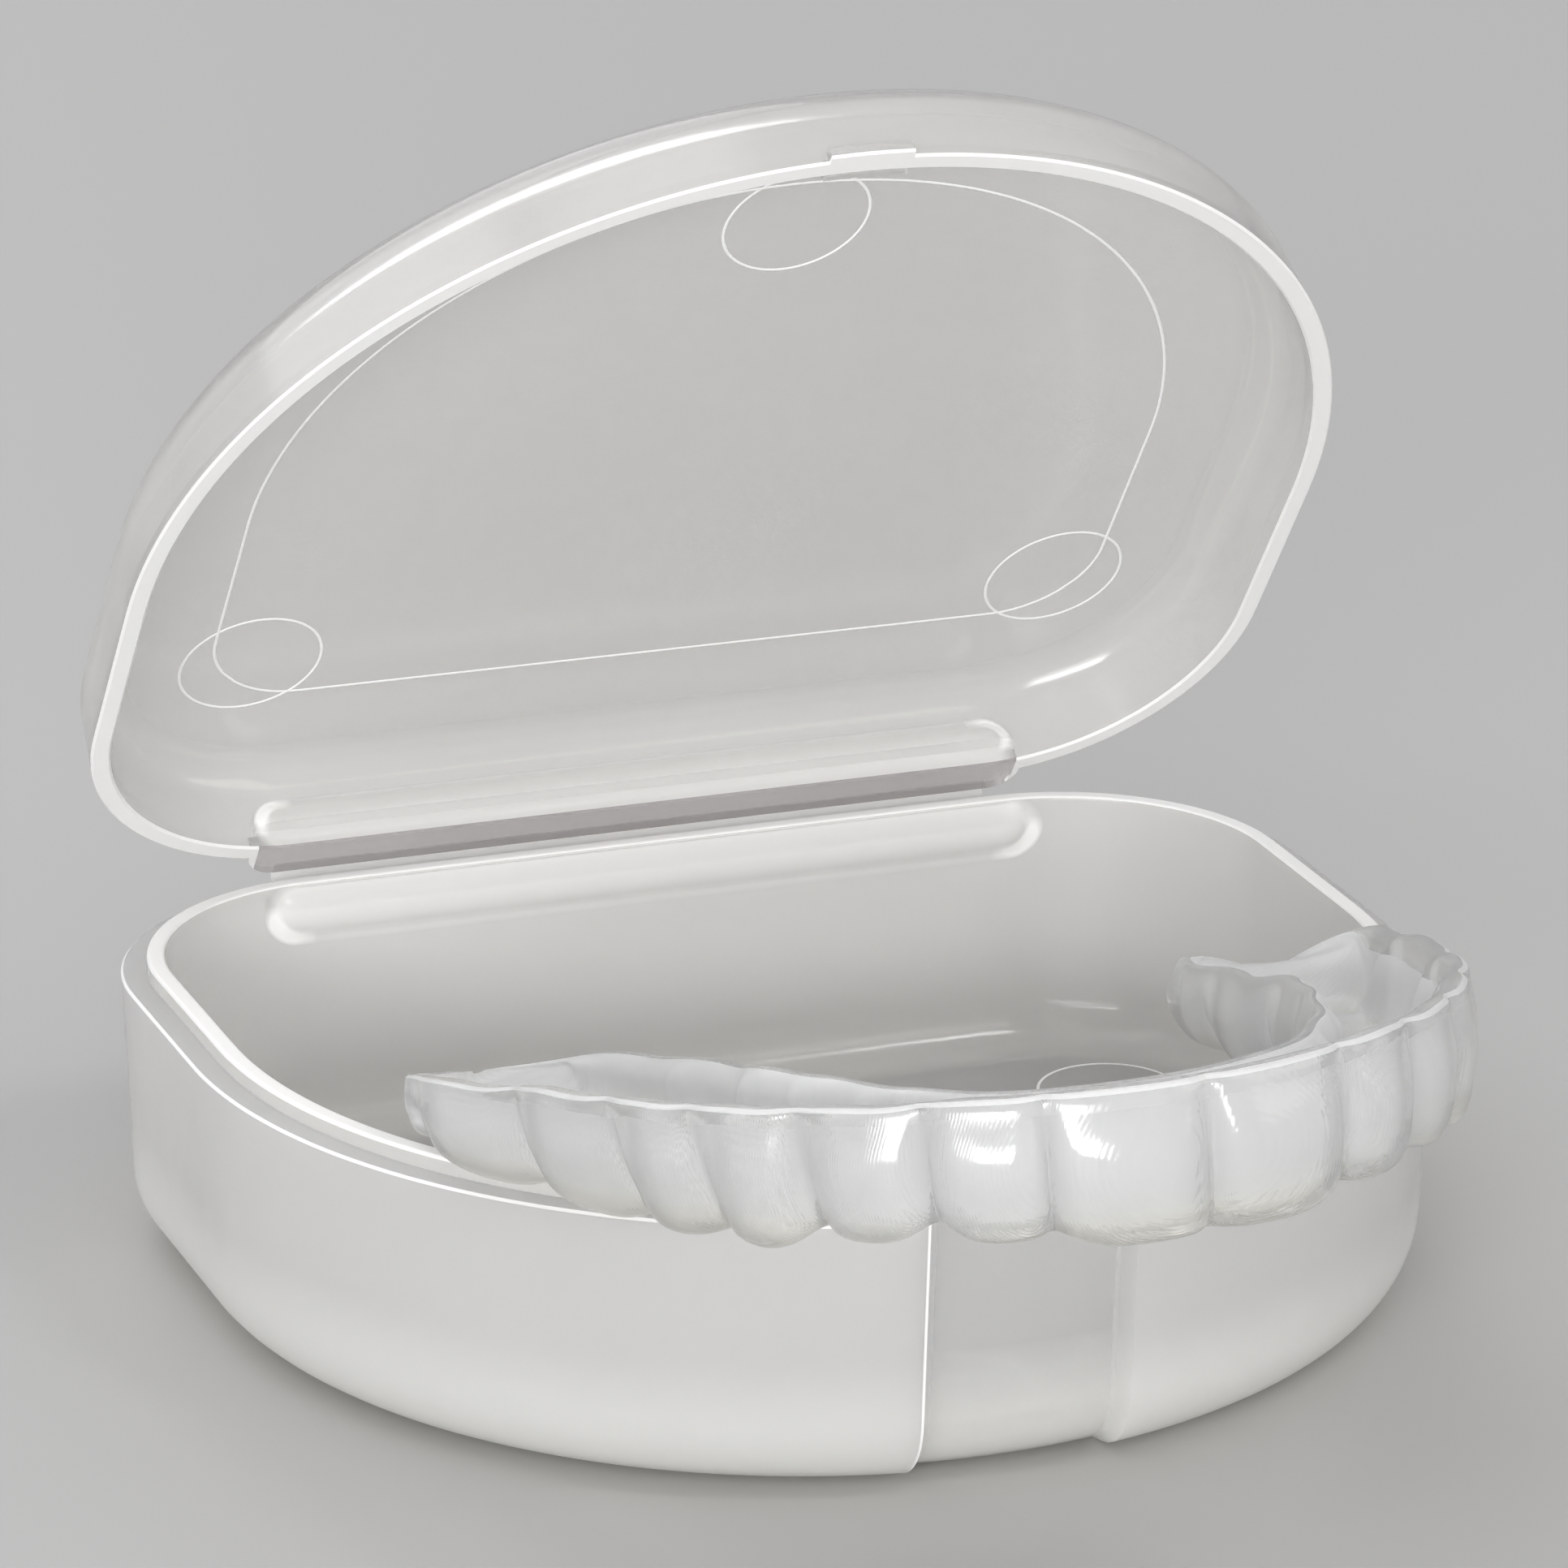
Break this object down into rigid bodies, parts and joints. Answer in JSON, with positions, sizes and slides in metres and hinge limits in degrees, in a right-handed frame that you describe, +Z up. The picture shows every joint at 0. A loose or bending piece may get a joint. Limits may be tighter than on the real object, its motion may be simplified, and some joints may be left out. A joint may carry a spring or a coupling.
{
  "type": "mouthguard with case",
  "caption": "Clear dental mouthguard tray lying across the rim of a small D-shaped translucent plastic case with a hinged lid standing open",
  "frame": {"origin": "the middle of the base's flat underside, on the surface that the case stands on", "axes": "+Z up, -Y the front of the case where the guard lies, +Y the hinge side, X along the hinge"},
  "size_m": [0.08, 0.0985, 0.0772],
  "materials": {
    "case_base_plastic": "milky translucent, satin",
    "case_lid_plastic": "milky translucent, glossy inside",
    "guard_plastic": "clear, glossy, slightly milky"
  },
  "bodies": {
    "base": {"case_base": "case_base_plastic", "hinge_web": "case_lid_plastic"},
    "lid": {"case_lid": "case_lid_plastic"},
    "guard": {"mouthguard": "guard_plastic"}
  },
  "joints": [
    {"name": "lid_hinge", "type": "hinge", "parent": "base", "child": "lid", "pos_m": [0, 0.0359, 0.018], "axis": [-1, 0, 0], "range_deg": [-42, 126]},
    {"name": "guard_lift_out", "type": "slide", "parent": "base", "child": "guard", "axis": [0, 0, 1], "range_m": [0, 0.06]}
  ]
}
